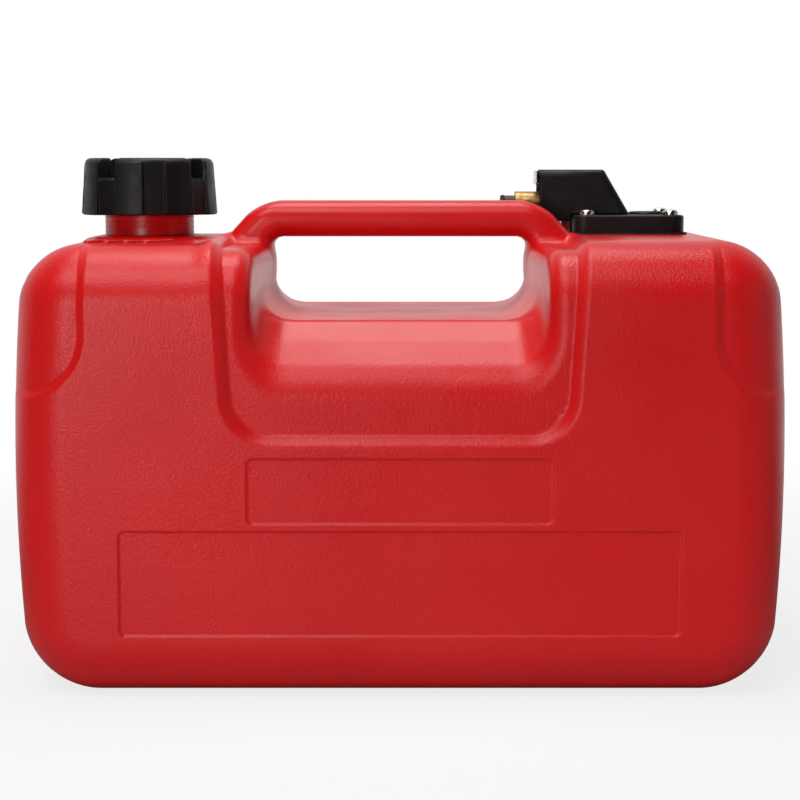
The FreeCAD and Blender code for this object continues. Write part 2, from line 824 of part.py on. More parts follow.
screws, inserts = [], []
for i, (dx, dy) in enumerate(four_corners(screw_x, screw_y)):
    x, y = f"base_x + {dx}", f"base_y + {dy}"
    screws.append(put(screw(f"screw_{i}"), x, y, f"{base_z} + base_height"))
    ring = turned(
        f"insert_{i}",
        [
            ("screw_width / 2", "0"),
            ("insert_width / 2", "0"),
            ("insert_width / 2", "insert_length"),
            ("screw_width / 2", "insert_length"),
        ],
        is_node=False,
    )
    inserts.append(put(ring, x, y, "deck_height - insert_length"))
group("base_screws", screws)
group("threaded_inserts", inserts)

# --------------------------------------------------------------------------------- pickup tube

tube_x = "base_x - tube_offset"
spigot_foot = f"({base_z} - spigot_length)"
tube_foot = "(wall + tube_floor_gap)"
tube_length = f"({spigot_foot} + tube_socket - {tube_foot})"
pickup_tube = turned(
    "pickup_tube",
    [
        ("tube_bore / 2", "0"),
        ("tube_outside / 2", "0"),
        ("tube_outside / 2", tube_length),
        ("tube_bore / 2", tube_length),
    ],
)
put(pickup_tube, tube_x, "base_y", tube_foot)

tube_seal = turned(
    "tube_seal",
    [
        ("tube_outside / 2", "0"),
        ("tube_seal_width / 2", "0"),
        ("tube_seal_width / 2", "tube_seal_thickness"),
        ("tube_outside / 2", "tube_seal_thickness"),
    ],
)
put(tube_seal, tube_x, "base_y", spigot_foot)

strainer_inside = "(strainer_width / 2 - strainer_wall)"
strainer_neck = "(strainer_height - 2 * strainer_wall)"
pickup_strainer = turned(
    "pickup_strainer",
    [
        ("0", "0"),
        ("strainer_width / 2", "0"),
        ("strainer_width / 2", "strainer_height"),
        ("tube_outside / 2", "strainer_height"),
        ("tube_outside / 2", strainer_neck),
        (strainer_inside, strainer_neck),
        (strainer_inside, "strainer_wall"),
        ("0", "strainer_wall"),
    ],
)
slot_sketch = sketch_on(pickup_strainer, "YZ_Plane")
slot_foot = "2 * strainer_wall"
slot_half = "strainer_slot_width / 2"
box_outline(slot_sketch, f"-{slot_half}", slot_half, slot_foot, f"{slot_foot} + strainer_slot_height")
ring_pattern(pickup_strainer, pocket(pickup_strainer, slot_sketch, "strainer_width", up=True), 6)
put(pickup_strainer, tube_x, "base_y", "wall + strainer_floor_gap")

# --------------------------------------------------------------------------------- fuel gauge
# The float slides on two guide rods. Its web has a slot that turns the twisted strip.

gauge_x = "base_x + gauge_offset"
foot_z = "(wall + guide_floor_gap)"
foot_top = f"({foot_z} + guide_foot_thickness)"

float_guide = new_body("float_guide")
pad(float_guide, circle(sketch_on(float_guide, "XY_Plane"), "float_width"), "guide_foot_thickness")
rods = sketch_on(float_guide, "XY_Plane", "guide_foot_thickness")
for side in ("-", ""):
    circle(rods, "guide_rod_width", "0", f"{side}guide_rod_spacing / 2")
pad(float_guide, rods, f"{spigot_foot} - {foot_top}")
sink(float_guide, "strip_pin_width + 2 * running_clearance", "0", "guide_foot_thickness")
put(float_guide, gauge_x, "base_y", foot_z)

gauge_float = new_body("gauge_float")
pad(gauge_float, circle(sketch_on(gauge_float, "XY_Plane"), "float_width"), "float_length")
web_depth = "(float_length - float_web) / 2"
sink(gauge_float, "float_bore", "0", "float_length", web_depth)
sink(gauge_float, "float_bore", "0", "0", web_depth, up=True)
slot = sketch_on(gauge_float, "XY_Plane", "float_length")
slot_x = "(strip_width / 2 + float_clearance)"
slot_y = "(strip_thickness / 2 + float_clearance)"
box_outline(slot, f"-{slot_x}", slot_x, f"-{slot_y}", slot_y)
pocket(gauge_float, slot)
rod_holes = sketch_on(gauge_float, "XY_Plane", "float_length")
for side in ("-", ""):
    circle(rod_holes, "guide_rod_width + 2 * running_clearance", "0", f"{side}guide_rod_spacing / 2")
pocket(gauge_float, rod_holes)
float_foot = f"({foot_top} + float_rest_gap)"
put(gauge_float, gauge_x, "base_y", float_foot)

dial_floor = f"({base_z} + base_height - dial_depth)"
pointer_z = f"({dial_floor} + dial_thickness + pointer_lift)"
strip_foot = f"({foot_top} + running_clearance)"
strip_length = f"({spigot_foot} - {strip_foot} - guide_foot_thickness)"


def twisted_strip(width, thickness, length, pitch, start_angle):
    """A flat strip that stands on Z and twists by one turn in each pitch."""
    section = Part.makePolygon(
        [
            Vector(-width / 2, -thickness / 2, 0),
            Vector(width / 2, -thickness / 2, 0),
            Vector(width / 2, thickness / 2, 0),
            Vector(-width / 2, thickness / 2, 0),
            Vector(-width / 2, -thickness / 2, 0),
        ]
    )
    spine = Part.Wire(Part.makeLine(Vector(0, 0, 0), Vector(0, 0, length)))
    guide = Part.Wire(Part.makeHelix(pitch, length, width))
    sweep = Part.BRepOffsetAPI.MakePipeShell(spine)
    sweep.setAuxiliarySpine(guide, True, 0)
    sweep.add(section)
    sweep.build()
    sweep.makeSolid()
    strip = sweep.shape()
    strip.rotate(Vector(0, 0, 0), Vector(0, 0, 1), start_angle)
    return strip


# The strip lies along X where the float's web holds it at rest.
web_z = value(f"{float_foot} + float_length / 2")
turn_at_foot = -360 * (web_z - value(strip_foot)) / value("strip_pitch")
strip_shape = twisted_strip(
    value("strip_width"), value("strip_thickness"), value(strip_length), value("strip_pitch"), turn_at_foot
)
pin_length = value("strip_pin_length")
pin = Part.makeCylinder(value("strip_pin_width / 2"), 2 * pin_length, Vector(0, 0, -pin_length))
stem_start = value(f"{strip_length} - strip_width")
stem_length = value(f"{pointer_z} + pointer_thickness - {strip_foot}") - stem_start
stem = Part.makeCylinder(value("stem_width / 2"), stem_length, Vector(0, 0, stem_start))
gauge_strip = doc.addObject("Part::Feature", "gauge_strip")
gauge_strip.Label = "gauge_strip"
gauge_strip.Shape = strip_shape.fuse([pin, stem])
put(gauge_strip, gauge_x, "base_y", strip_foot)
NODES.append(gauge_strip)

gauge_bush = turned(
    "gauge_bush",
    [
        ("stem_width / 2 + running_clearance", "0"),
        ("bush_width / 2", "0"),
        ("bush_width / 2", "base_height + spigot_length - dial_depth"),
        ("stem_width / 2 + running_clearance", "base_height + spigot_length - dial_depth"),
    ],
)
put(gauge_bush, gauge_x, "base_y", spigot_foot)

gauge_dial = turned(
    "gauge_dial",
    [
        ("stem_width / 2 + float_clearance", "0"),
        ("dial_width / 2", "0"),
        ("dial_width / 2", "dial_thickness"),
        ("stem_width / 2 + float_clearance", "dial_thickness"),
    ],
)
put(gauge_dial, gauge_x, "base_y", dial_floor)

gauge_pointer = new_body("gauge_pointer")
pad(gauge_pointer, circle(sketch_on(gauge_pointer, "XY_Plane"), "pointer_hub_width"), "pointer_thickness")
needle = sketch_on(gauge_pointer, "XY_Plane")
polygon(
    needle,
    [
        ("0", "-pointer_width / 2"),
        ("pointer_length", "-pointer_width / 6"),
        ("pointer_length", "pointer_width / 6"),
        ("0", "pointer_width / 2"),
    ],
)
pad(gauge_pointer, needle, "pointer_thickness")
sink(gauge_pointer, "stem_width", "0", "pointer_thickness")
put(gauge_pointer, gauge_x, "base_y", pointer_z)

gauge_lens = part("Part::Cylinder", "gauge_lens", Radius="lens_width / 2", Height="lens_thickness")
put(gauge_lens, gauge_x, "base_y", f"{base_z} + base_height - lens_thickness")

gauge_bezel = turned(
    "gauge_bezel",
    [
        ("bezel_bore / 2", "0"),
        ("bezel_width / 2", "0"),
        ("bezel_width / 2", "bezel_height / 2"),
        ("bezel_width / 2 - bezel_height / 2", "bezel_height"),
        ("bezel_bore / 2", "bezel_height"),
    ],
)
put(gauge_bezel, gauge_x, "base_y", f"{base_z} + base_height")

# ------------------------------------------------------------------------------ hose connector
# Local height 0 is the base plate's underside, and X is the tank's own X.

nipple_x = "(nipple_tip_x + nipple_tip_length)"
nipple_end = f"({nipple_x} + nipple_length)"
block_end = "(base_x - base_length / 2 - block_foot_gap - block_foot_length)"
block_top = "(base_height + block_height)"


def along_x(body, width, offset, length, cutting):
    """A round boss or hole that runs along +X from offset, at the connector's axis height."""
    sketch = circle(sketch_on(body, "YZ_Plane", offset), width, "0", "connector_axis_height")
    return pocket(body, sketch, length, up=True) if cutting else pad(body, sketch, length)


connector_block = new_body("connector_block")
block_profile = [
    (block_end, "0"),
    (block_end, block_top),
    (f"{block_end} + block_length", block_top),
    (f"{block_end} + block_length", "base_height"),
    (f"{block_end} + block_foot_length", "base_height"),
    (f"{block_end} + block_foot_length", "0"),
]
block_sketch = polygon(sketch_on(connector_block, "XZ_Plane"), block_profile)
pad(connector_block, block_sketch, "block_width", both_ways=True)
along_x(connector_block, "collar_width", nipple_end, f"{block_end} - {nipple_end}", False)
along_x(connector_block, "shank_width", nipple_end, "shank_length", True)
tube_from_nipple = f"({tube_x} - {nipple_end})"
along_x(connector_block, "valve_mouth", nipple_end, tube_from_nipple, True)
sink(connector_block, "tube_bore", tube_x, "base_height", "connector_axis_height - base_height", up=True)
put(connector_block, "0", "base_y", base_z)

fuel_nipple = turned(
    "fuel_nipple",
    [
        ("nipple_tip_width / 2", nipple_x),
        ("nipple_width / 2", nipple_x),
        ("nipple_width / 2", nipple_end),
        ("shank_width / 2", nipple_end),
        ("shank_width / 2", f"{nipple_end} + shank_length"),
        ("valve_mouth / 2", f"{nipple_end} + shank_length"),
        ("valve_mouth / 2", f"{nipple_x} + tip_socket"),
        ("nipple_tip_width / 2", f"{nipple_x} + tip_socket"),
    ],
    lying=True,
)
ring_floor = "(nipple_tip_width / 2 + ring_stand - ring_section)"
ring_start = "(nipple_tip_x + ring_offset)"
tip_end = f"({nipple_x} + tip_socket)"
chamber_start = "(nipple_tip_x + valve_mouth_length)"
nipple_tip = turned(
    "nipple_tip",
    [
        ("valve_mouth / 2", "nipple_tip_x"),
        ("nipple_tip_width / 2", "nipple_tip_x"),
        ("nipple_tip_width / 2", ring_start),
        (ring_floor, ring_start),
        (ring_floor, f"{ring_start} + ring_section"),
        ("nipple_tip_width / 2", f"{ring_start} + ring_section"),
        ("nipple_tip_width / 2", tip_end),
        ("valve_chamber / 2", tip_end),
        ("valve_chamber / 2", chamber_start),
        ("valve_mouth / 2", chamber_start),
    ],
    lying=True,
)
nipple_ring = turned(
    "nipple_ring",
    [
        (ring_floor, ring_start),
        (f"({ring_floor} + ring_section)", ring_start),
        (f"({ring_floor} + ring_section)", f"{ring_start} + ring_section"),
        (ring_floor, f"{ring_start} + ring_section"),
    ],
    lying=True,
)
soften(nipple_ring, "ring_section / 4", lambda b: near(b.ZMax, value(f"{ring_floor} + ring_section")))
ball_x = f"({chamber_start} + sqrt(ball_width^2 - valve_mouth^2) / 2 + ball_seat_gap)"
valve_ball = part("Part::Sphere", "valve_ball", Radius="ball_width / 2")
axis_z = f"({base_z} + connector_axis_height)"
for piece in (fuel_nipple, nipple_tip, nipple_ring):
    put(piece, "0", "base_y", axis_z)
put(valve_ball, ball_x, "base_y", axis_z)

spring_start = value(f"{ball_x} + ball_width / 2")
spring_end = value(tip_end)
wire_radius = value("spring_wire") / 2
coil_radius = value("(spring_width - spring_wire) / 2")
coil_length = spring_end - spring_start - 2 * wire_radius
coil = Part.Wire(Part.makeHelix(coil_length / value("spring_turns"), coil_length, coil_radius))
wire_section = Part.Wire(Part.makeCircle(wire_radius, Vector(coil_radius, 0, 0), Vector(0, 1, 0)))
spring_shape = coil.makePipeShell([wire_section], True, True)
spring_shape.translate(Vector(0, 0, wire_radius))
spring_shape.rotate(Vector(0, 0, 0), Vector(0, 1, 0), 90)
valve_spring = doc.addObject("Part::Feature", "valve_spring")
valve_spring.Label = "valve_spring"
valve_spring.Shape = spring_shape
put(valve_spring, f"{ball_x} + ball_width / 2", "base_y", axis_z)
NODES.append(valve_spring)

clip_x = "(hood_mouth_x - clip_gap - clip_thickness)"
connector_clip = new_body("connector_clip")
clip_profile = [
    (clip_x, block_top),
    (f"{clip_x} + clip_leg", block_top),
    (f"{clip_x} + clip_leg", f"{block_top} + clip_thickness"),
    (f"{clip_x} + clip_thickness", f"{block_top} + clip_thickness"),
    (f"{clip_x} + clip_thickness", f"{block_top} + clip_height"),
    (clip_x, f"{block_top} + clip_height"),
]
clip_sketch = polygon(sketch_on(connector_clip, "XZ_Plane"), clip_profile)
pad(connector_clip, clip_sketch, "clip_width", both_ways=True)
clip_left = value(clip_x)
soften(
    connector_clip,
    "0.8 * clip_thickness",
    lambda b: near(b.XLength, 0) and near(b.XMin, clip_left) and near(b.ZLength, 0),
)
put(connector_clip, "0", "base_y", base_z)

hood_top = "(base_height + hood_height)"
hood_foot = "(base_height - hood_overhang_drop)"
slope_x = "(hood_mouth_x + hood_top_length)"
slope_end = f"({slope_x} + hood_slope)"
step_x = "(base_x - base_length / 2 - block_foot_gap)"
connector_hood = new_body("connector_hood")
hood_profile = [
    ("hood_mouth_x", hood_foot),
    ("hood_mouth_x", hood_top),
    (slope_x, hood_top),
    (slope_end, "base_height"),
    (step_x, "base_height"),
    (step_x, hood_foot),
]
hood_sketch = polygon(sketch_on(connector_hood, "XZ_Plane"), hood_profile)
pad(connector_hood, hood_sketch, "hood_width", both_ways=True)
hood_side = value("hood_width / 2")
hood_ridge = value(hood_top)
soften(
    connector_hood,
    "hood_round",
    lambda b: near(abs(b.YMin), hood_side) and near(b.ZMax, hood_ridge) and b.XLength > value("hood_wall"),
)
slant = "(hood_wall * sqrt(hood_slope^2 + hood_height^2) / hood_height)"
inside_top = f"({slope_x} + hood_wall * hood_slope / hood_height - {slant})"
hood_hollow = [
    ("hood_mouth_x - hood_wall", f"{hood_foot} - hood_wall"),
    ("hood_mouth_x - hood_wall", f"{hood_top} - hood_wall"),
    (inside_top, f"{hood_top} - hood_wall"),
    (f"{slope_end} - {slant}", "base_height"),
    (f"{slope_end} - {slant}", f"{hood_foot} - hood_wall"),
]
hollow_sketch = polygon(sketch_on(connector_hood, "XZ_Plane"), hood_hollow)
pocket(connector_hood, hollow_sketch, "hood_width - 2 * hood_wall", both_ways=True)
put(connector_hood, "0", "base_y", base_z)

# ------------------------------------------------------------------------------------- export

doc.recompute()
failed = [thing.Label for thing in doc.Objects if "Invalid" in thing.State or "Error" in thing.State]
for node in NODES:
    if node.Shape.isNull() or not node.Shape.isValid() or not node.Shape.Solids:
        failed.append(node.Label)
if failed:
    raise RuntimeError(f"these did not build: {sorted(set(failed))}")
os.makedirs("parts", exist_ok=True)
for node in NODES:
    node.Shape.exportStep(f"parts/{node.Label}.step")
    print(node.Label, len(node.Shape.Solids), round(node.Shape.Volume, 1))
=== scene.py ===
"""The looks of a portable fuel tank: its moulded shell, neck, filler cap and fuel take-off.

A form is a function of X, Y and Z that is below zero inside a shape, and its surface becomes a mesh.
Lengths are in millimetres while a form is worked out, and in metres in the scene.
X runs from the filler cap to the take-off, Y to the back and Z up.
"""

import json
import math

import bpy
import numpy as np
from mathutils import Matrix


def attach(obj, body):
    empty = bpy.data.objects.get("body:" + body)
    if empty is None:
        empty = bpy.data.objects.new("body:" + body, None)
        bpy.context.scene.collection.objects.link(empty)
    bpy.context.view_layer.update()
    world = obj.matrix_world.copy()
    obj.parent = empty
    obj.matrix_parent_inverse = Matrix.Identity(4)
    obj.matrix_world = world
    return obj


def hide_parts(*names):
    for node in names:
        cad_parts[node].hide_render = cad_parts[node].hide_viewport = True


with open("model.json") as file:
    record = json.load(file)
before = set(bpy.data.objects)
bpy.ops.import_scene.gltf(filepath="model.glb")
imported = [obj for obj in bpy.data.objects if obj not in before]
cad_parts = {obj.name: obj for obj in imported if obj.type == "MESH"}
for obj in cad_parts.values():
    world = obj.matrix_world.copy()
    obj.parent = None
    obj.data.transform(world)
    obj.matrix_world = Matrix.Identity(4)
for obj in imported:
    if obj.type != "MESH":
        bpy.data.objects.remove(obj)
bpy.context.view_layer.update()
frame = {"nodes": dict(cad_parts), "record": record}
nodes = frame["nodes"]
MM = 0.001

# ---------------------------------------------------------------- sizes in millimetres

# the shell, whose ends bow outwards
DECK, HALF_LENGTH, HALF_DEPTH = 208.0, 177.0, 100.0
MIDDLE, SIDE_BOW = DECK / 2, 970.0
TOP_CORNER, BOTTOM_CORNER, FACE_EDGE = 27.0, 33.0, 27.0

# the recess below the handle, on the front and the back
RECESS_FOOT, RECESS_HALF_FOOT, RECESS_HALF_TOP = 119.0, 77.5, 83.0
RECESS_CORNER, RECESS_DEPTH, RECESS_RAMP = 19.0, 4.0, 6.4

# the two plain panels on the front and the back: a narrow one under the recess, and the label's below it
PANEL_DEPTH, PANEL_RAMP, PANEL_CORNER = 1.1, 1.5, 2.8
TEXT_HALF, TEXT_FOOT, TEXT_TOP = 69.0, 81.5, 111.0
LABEL_HALF, LABEL_FOOT, LABEL_TOP = 127.0, 30.0, 78.0

# the shallow scallops at the upper corners of the front and the back
SCALLOP_X, SCALLOP_Z, SCALLOP_CORNER = 142.5, 139.5, 27.0
SCALLOP_DEPTH, SCALLOP_RAMP = 2.2, 4.6
SCALLOP_START_Y, SCALLOP_FADE = 72.0, 26.0

# the room for the hand under the handle, with a scoop to the front and to the back
HAND_HALF, HAND_FLARE, HAND_FLOOR = 61.0, 7.0, DECK - 37.0
SCOOP_CORNER, SCOOP_EDGE_Y, SCOOP_TILT = 16.0, 65.0, math.radians(37.7)
SCOOP_EDGE_ROUND, SCOOP_RIM_ROUND = 1.0, 8.0

# the handle, its sloping ends and the hole through it
HANDLE_TOP, HANDLE_UNDER, HANDLE_HALF_DEPTH = DECK + 17.0, DECK - 0.5, 14.0
HANDLE_BEND, HANDLE_ROUND, HANDLE_FILLET = 8.0, 8.0, 5.0
HOLE_HALF, HOLE_FLARE, HOLE_FLARE_HEIGHT = HAND_HALF + 0.2, 2.8, 9.0
HOLE_CORNER, HOLE_EDGE = 4.0, 0.5
SLOPE_X, SLOPE_Z, SLOPE_ANGLE = 82.2, DECK + 1.9, math.radians(42)

# the handle and the neck's collar reach down to this height inside the shell
ROOT = DECK - 15.0

# the left deck, which is lower but for a round pad, and the neck's collar and bore
PAD_RADIUS, PAD_RAMP = 30.0, 5.0
LEFT_DECK_X, LEFT_DECK_RAMP, LEFT_DECK_DROP = -86.0, 8.0, 1.5
COLLAR_RADIUS, COLLAR_TOP, COLLAR_EDGE, COLLAR_FILLET = 21.2, DECK + 1.5, 0.4, 1.5
BORE_FOOT, BORE_CORNER, BORE_EDGE = DECK - 13.0, 2.0, 0.4

# the neck, its fine ridges and its thread
NECK_X, NECK_OUT, NECK_BORE, NECK_TOP = -123.0, 20.6, 17.5, DECK + 22.7
NECK_SIDES, NECK_ROW = 128, 0.3
NECK_WALL, NECK_RIDGE, NECK_RIDGE_DEPTH = 21.6, 2.35, 0.16
THREAD_CREST, THREAD_PITCH, THREAD_START, THREAD_TURNS = 21.85, 4.0, DECK + 8.0, 3.2
THREAD_HALF, THREAD_FLANK, THREAD_ENDS = 1.1, 0.6, 6

# the slanted ribs on the left deck
RIB_COUNT, RIB_LEFT, RIB_STEP, RIB_RUN = 4, -144.0, 9.0, 9.0
RIB_FRONT, RIB_BACK, RIB_HALF, RIB_HEIGHT = -66.0, -46.0, 2.1, 1.2
RIB_SLANT_COSINE, RIB_END_ROUND, RIB_TOP_ROUND = 0.9, 1.5, 0.6

# the filler cap
CAP_FOOT, CAP_TOP = DECK + 10.2, DECK + 37.6
CAP_FLOOR, CAP_SEAT = DECK + 27.6, DECK + 24.7
CAP_R_FOOT, CAP_R_TOP = 33.3, 31.4
CAP_TOP_ROUND, CAP_FOOT_ROUND = 3.4, 0.9
CAP_TURN = math.radians(11.2)
GROOVE_HALF, GROOVE_FLOOR_R, GROOVE_ROUND = 5.1, 31.0, 0.7
NOTCH_HALF, NOTCH_INNER_R, NOTCH_ROUND = 4.8, 10.0, 1.4
WELL_R, WELL_ROUND = 22.0, 1.2
SKIRT_R, SKIRT_INNER_R, SKIRT_CEILING, SKIRT_ROUND = 29.0, 25.65, CAP_SEAT - 0.7, 0.4
CAP_BORE, CAP_BORE_ROUND = 22.25, 0.3

# a distance that is farther off than anything that matters to a rib or a thread
FAR = 9.0

# ---------------------------------------------------------------- distance fields


def round_union(a, b, radius):
    """Inside a or inside b, with a fillet where they meet."""
    u, v = np.maximum(radius - a, 0), np.maximum(radius - b, 0)
    return np.maximum(radius, np.minimum(a, b)) - np.sqrt(u * u + v * v)


def round_both(a, b, radius):
    """Inside both a and b, with a rounded edge where they meet."""
    u, v = np.maximum(radius + a, 0), np.maximum(radius + b, 0)
    return np.minimum(-radius, np.maximum(a, b)) + np.sqrt(u * u + v * v)


def less(a, b, radius):
    """Inside a and outside b, with a rounded edge where they meet."""
    return round_both(a, -b, radius)


def smooth(t):
    """0 up to t = 0 and 1 from t = 1, with an even curve between them."""
    t = np.clip(t, 0, 1)
    return t * t * (3 - 2 * t)


def share(outline, ramp):
    """1 well inside an outline and 0 outside, over a ramp centred on it."""
    return smooth(0.5 - outline / ramp)


def crisp(outline, ramp):
    """As share, but with a soft start at the outer side of the ramp and a short bend at its inner side."""
    blend, bend = 0.25, 1.6
    left = np.clip(0.5 + outline / ramp, 0, 1)
    left = np.where(left < blend, left * left / (2 * blend), left - blend / 2)
    return (1 - left / (1 - blend / 2)) ** bend


def panel(ax, z, half, foot, top):
    """The outline of a flat rectangular panel with round corners."""
    middle, reach = (foot + top) / 2, (top - foot) / 2
    return round_both(ax - half, np.abs(z - middle) - reach, PANEL_CORNER)


def shell(ax, ay, z, drop):
    """The rounded box of the tank. Its deck is lower by drop."""
    side = ax - (HALF_LENGTH - (z - MIDDLE) ** 2 / (2 * SIDE_BOW))
    outline = round_both(side, z - DECK + drop, TOP_CORNER)
    outline = round_both(outline, -z, BOTTOM_CORNER)
    return round_both(outline, ay - HALF_DEPTH, FACE_EDGE)


def face_depth(ax, ay, z):
    """How deep the recess, the plain panels and the scallops lie in the front and the back."""
    rise = (z - RECESS_FOOT) / (DECK - RECESS_FOOT)
    recess_half = RECESS_HALF_FOOT + (RECESS_HALF_TOP - RECESS_HALF_FOOT) * rise
    recess = round_both(ax - recess_half, RECESS_FOOT - z, RECESS_CORNER)
    text_panel = share(panel(ax, z, TEXT_HALF, TEXT_FOOT, TEXT_TOP), PANEL_RAMP)
    label_panel = share(panel(ax, z, LABEL_HALF, LABEL_FOOT, LABEL_TOP), PANEL_RAMP)
    scallop = round_both(SCALLOP_X - ax, SCALLOP_Z - z, SCALLOP_CORNER)
    fade = smooth((ay - SCALLOP_START_Y) / SCALLOP_FADE)
    depth = RECESS_DEPTH * crisp(recess, RECESS_RAMP) + PANEL_DEPTH * (text_panel + label_panel)
    return depth + SCALLOP_DEPTH * fade * share(scallop, SCALLOP_RAMP)


def hand_room(ax, ay, z):
    """The room for the hand. Its floor falls away to the front and the back, where it is wider."""
    half = HAND_HALF + HAND_FLARE * ay / HALF_DEPTH
    falling = (HAND_FLOOR - z) * math.cos(SCOOP_TILT) - (ay - SCOOP_EDGE_Y) * math.sin(SCOOP_TILT)
    floor = round_union(HAND_FLOOR - z, falling, SCOOP_EDGE_ROUND)
    return round_both(ax - half, floor, SCOOP_CORNER)


def handle(ax, ay, z):
    """The carry handle: a bar with sloping ends, rounded along its length, over a hole with a flared foot."""
    end = (ax - SLOPE_X) * math.cos(SLOPE_ANGLE) + (z - SLOPE_Z) * math.sin(SLOPE_ANGLE)
    hole_half = HOLE_HALF + HOLE_FLARE * smooth((HANDLE_UNDER - z) / HOLE_FLARE_HEIGHT)
    hole = round_both(ax - hole_half, z - HANDLE_UNDER, HOLE_CORNER)
    bar = less(round_both(z - HANDLE_TOP, end, HANDLE_BEND), hole, HOLE_EDGE)
    bar = round_both(bar, ay - HANDLE_HALF_DEPTH, HANDLE_ROUND)
    return np.maximum(bar, ROOT - z)


def tank_form(x, y, z):
    """The whole tank. Its front and back are alike, and so are its ends but for the left deck and neck."""
    ax, ay = np.abs(x), np.abs(y)
    from_neck = np.hypot(x - NECK_X, y)
    off_pad = smooth((from_neck - PAD_RADIUS) / PAD_RAMP)
    drop = LEFT_DECK_DROP * smooth((LEFT_DECK_X - x) / LEFT_DECK_RAMP) * off_pad
    form = shell(ax, ay, z, drop) + face_depth(ax, ay, z)
    form = less(form, hand_room(ax, ay, z), SCOOP_RIM_ROUND)
    form = round_union(form, handle(ax, ay, z), HANDLE_FILLET)
    collar = round_both(from_neck - COLLAR_RADIUS, z - COLLAR_TOP, COLLAR_EDGE)
    form = round_union(form, np.maximum(collar, ROOT - z), COLLAR_FILLET)
    bore = round_both(from_neck - NECK_BORE, BORE_FOOT - z, BORE_CORNER)
    return less(form, bore, BORE_EDGE)


# ---------------------------------------------------------------- meshes from fields


def lines(low, high, coarse, bands):
    """Grid lines from low to high, coarse apart and closer inside each band (start, end, spacing)."""
    at, out = low, [low]
    while at < high:
        step = coarse
        for start, end, spacing in bands:
            away = max(start - at, at - end, 0)
            step = min(step, spacing + 0.35 * away)
        at += step
        out.append(at)
    return np.array(out)


def mirrored(high, coarse, bands=()):
    """Grid lines from -high to high, the same on both sides of zero."""
    half = lines(coarse / 2, high, coarse, bands)
    return np.concatenate([-half[::-1], half])


def gradient(form, points, step=0.05):
    """How fast a form rises along X, Y and Z at each point."""
    out = np.empty_like(points)
    for axis in range(3):
        ahead, behind = points.copy(), points.copy()
        ahead[:, axis] += step
        behind[:, axis] -= step
        out[:, axis] = (form(*ahead.T) - form(*behind.T)) / (2 * step)
    return out


def surface(form, xs, ys, zs):
    """Surface nets: one vertex in each cell that the surface crosses, one quad for each crossed edge.

    Each vertex is then moved along the slope onto the surface, but never far out of its cell.
    """
    grid = form(xs[:, None, None], ys[None, :, None], zs[None, None, :])
    shape = np.array(grid.shape) - 1
    total, count = np.zeros((int(shape.prod()), 3)), np.zeros(int(shape.prod()))
    axes = (xs, ys, zs)
    faces = []
    for axis in range(3):
        others = [(axis + 1) % 3, (axis + 2) % 3]
        low = [slice(None)] * 3
        high = [slice(None)] * 3
        low[axis], high[axis] = slice(0, -1), slice(1, None)
        for other in others:
            low[other] = high[other] = slice(1, -1)
        # The grid's edges along this axis that the surface crosses, away from the grid's own sides.
        a, b = grid[tuple(low)], grid[tuple(high)]
        at = np.argwhere((a < 0) != (b < 0))
        for other in others:
            at[:, other] += 1
        first = grid[tuple(at.T)]
        second = at.copy()
        second[:, axis] += 1
        second = grid[tuple(second.T)]
        t = first / (first - second)
        point = np.stack([axes[k][at[:, k]] for k in range(3)], axis=1)
        span = np.diff(axes[axis])[at[:, axis]]
        point[:, axis] += t * span
        # The four cells around each of these edges, whose vertices make a quad that faces outwards.
        ring = []
        for du, dv in ((-1, -1), (0, -1), (0, 0), (-1, 0)):
            cell = at.copy()
            cell[:, others[0]] += du
            cell[:, others[1]] += dv
            ring.append(np.ravel_multi_index(tuple(cell.T), tuple(shape)))
        ring = np.stack(ring, axis=1)
        for corner in range(4):
            np.add.at(count, ring[:, corner], 1)
            for k in range(3):
                total[:, k] += np.bincount(ring[:, corner], point[:, k], minlength=len(count))
        flipped = first > 0
        ring[flipped] = ring[flipped][:, ::-1]
        faces.append(ring)
    # A cell's vertex is the mean of the crossings on its edges.
    faces = np.concatenate(faces)
    used = np.unique(faces)
    number = np.zeros(len(count), int)
    number[used] = np.arange(len(used))
    points = total[used] / count[used][:, None]
    cell = np.unravel_index(used, tuple(shape))
    reach = 0.6 * np.max([np.diff(line)[at] for line, at in zip(axes, cell)], axis=0)
    for _ in range(5):
        slope = gradient(form, points)
        move = -form(*points.T) / np.maximum((slope**2).sum(1), 0.05)
        points += np.clip(move, -reach, reach)[:, None] * slope
    return points, number[faces]


def shaded(form, points):
    """The unit normals of a form at points on its surface."""
    slope = gradient(form, points)
    return slope / np.maximum(np.linalg.norm(slope, axis=1), 1e-6)[:, None]


def mesh_piece(name, points, faces, body, replaced, material, normals=None):
    """A piece from points in millimetres and faces. It rides on a body and may stand for CAD nodes."""
    mesh = bpy.data.meshes.new(name)
    mesh.vertices.add(len(points))
    mesh.vertices.foreach_set("co", points.ravel() * MM)
    mesh.loops.add(faces.size)
    mesh.loops.foreach_set("vertex_index", faces.ravel())
    mesh.polygons.add(len(faces))
    mesh.polygons.foreach_set("loop_start", np.arange(len(faces)) * faces.shape[1])
    mesh.update(calc_edges=True)
    mesh.validate()
    mesh.shade_smooth()
    if normals is not None:
        mesh.normals_split_custom_set_from_vertices(normals.tolist())
    mesh.materials.append(material)
    piece = bpy.data.objects.new(name, mesh)
    bpy.context.scene.collection.objects.link(piece)
    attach(piece, body)
    if replaced:
        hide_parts(*replaced)
    return piece


# ---------------------------------------------------------------- materials


